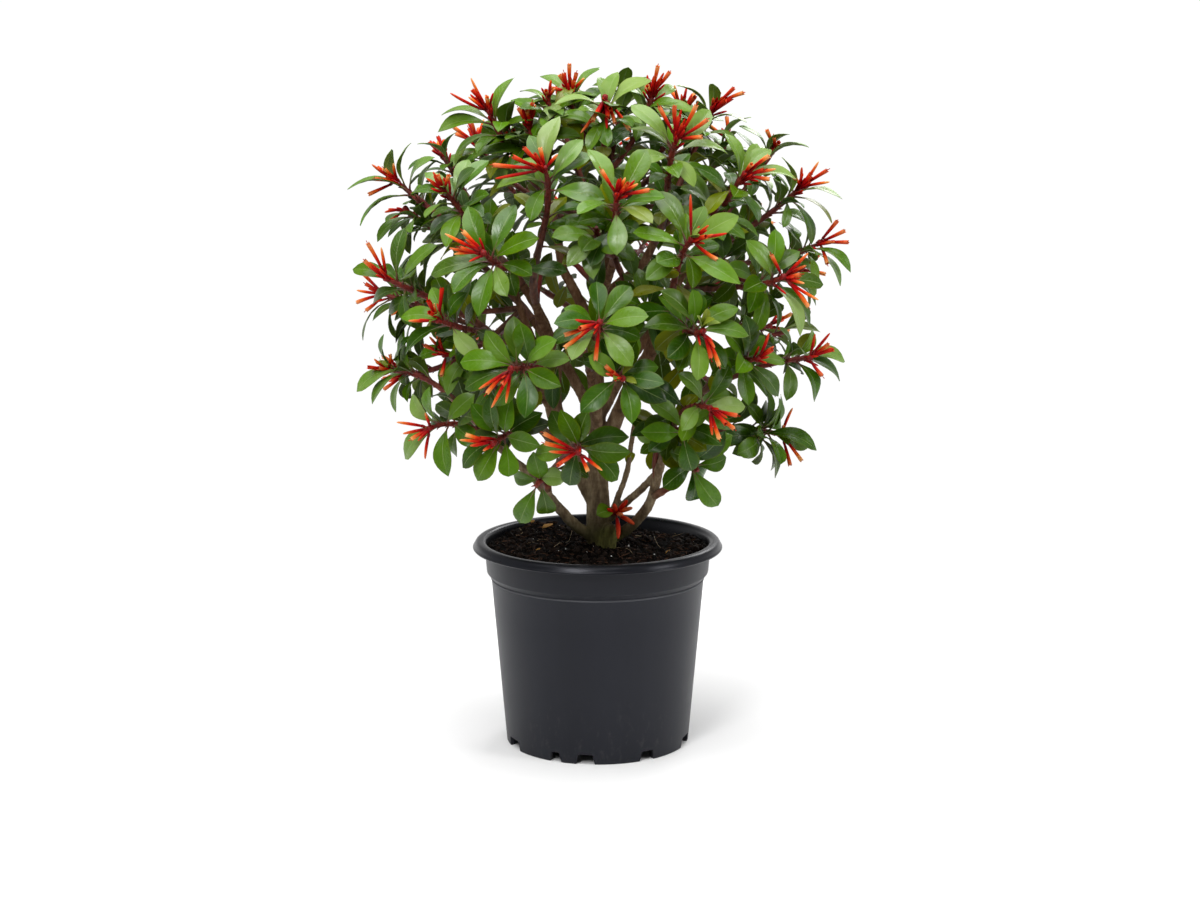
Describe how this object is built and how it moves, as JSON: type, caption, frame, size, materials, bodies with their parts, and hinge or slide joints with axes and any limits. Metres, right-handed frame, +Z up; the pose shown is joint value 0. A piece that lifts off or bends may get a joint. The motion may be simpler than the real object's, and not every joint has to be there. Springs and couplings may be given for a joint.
{
  "type": "potted firebush",
  "caption": "Bushy evergreen shrub with whorled leaves and clusters of slim red and orange tubular flowers, standing in soil in a round nursery pot.",
  "frame": {"origin": "centre of the pot's foot, on the surface it stands on", "axes": "+Z up along the pot's axis; -Y towards the side that the picture shows"},
  "size_m": [0.5088, 0.4875, 0.7048],
  "materials": {
    "pot": "satin charcoal moulded plastic with a slightly glossier rim",
    "soil": "matte moist peat and bark fibre with a few white grains",
    "bark": "matte grey-brown bark, finely ridged",
    "foliage": "satin green leaves with paler ribs on dark red twigs",
    "bloom": "satin tubes, deep red at the root to orange at the tip"
  },
  "bodies": {
    "root": {"pot": "pot", "potting_soil": "soil", "trunk_and_limbs": "bark", "leafy_branch_top_left": "foliage", "leafy_branch_left_upper": "foliage", "leafy_branch_left_front": "foliage", "leafy_branch_left_middle": "foliage", "leafy_branch_left_lower": "foliage", "leafy_branch_bottom_front": "foliage", "leafy_branch_centre_front": "foliage", "leafy_branch_top": "foliage", "leafy_branch_upper_front": "foliage", "leafy_branch_right_top": "foliage", "leafy_branch_right_upper": "foliage", "leafy_branch_right_front": "foliage", "leafy_branch_right_lower": "foliage", "leafy_branch_low_right": "foliage", "leafy_branch_back_top": "foliage", "leafy_branch_back_left": "foliage", "leafy_branch_back_right": "foliage", "leafy_branch_back_middle": "foliage", "bloom_01": "bloom", "bloom_02": "bloom", "bloom_03": "bloom", "bloom_04": "bloom", "bloom_05": "bloom", "bloom_06": "bloom", "bloom_07": "bloom", "bloom_08": "bloom", "bloom_09": "bloom", "bloom_10": "bloom", "bloom_11": "bloom", "bloom_12": "bloom", "bloom_13": "bloom", "bloom_14": "bloom", "bloom_15": "bloom", "bloom_16": "bloom", "bloom_17": "bloom", "bloom_18": "bloom", "bloom_19": "bloom", "bloom_20": "bloom", "bloom_21": "bloom", "bloom_22": "bloom", "bloom_23": "bloom", "bloom_24": "bloom", "bloom_25": "bloom", "bloom_26": "bloom", "bloom_27": "bloom", "bloom_28": "bloom", "bloom_29": "bloom", "bloom_30": "bloom", "bloom_31": "bloom", "bloom_32": "bloom", "bloom_33": "bloom", "bloom_34": "bloom", "bloom_35": "bloom", "bloom_36": "bloom", "bloom_37": "bloom", "bloom_38": "bloom", "bloom_39": "bloom"}
  },
  "joints": []
}
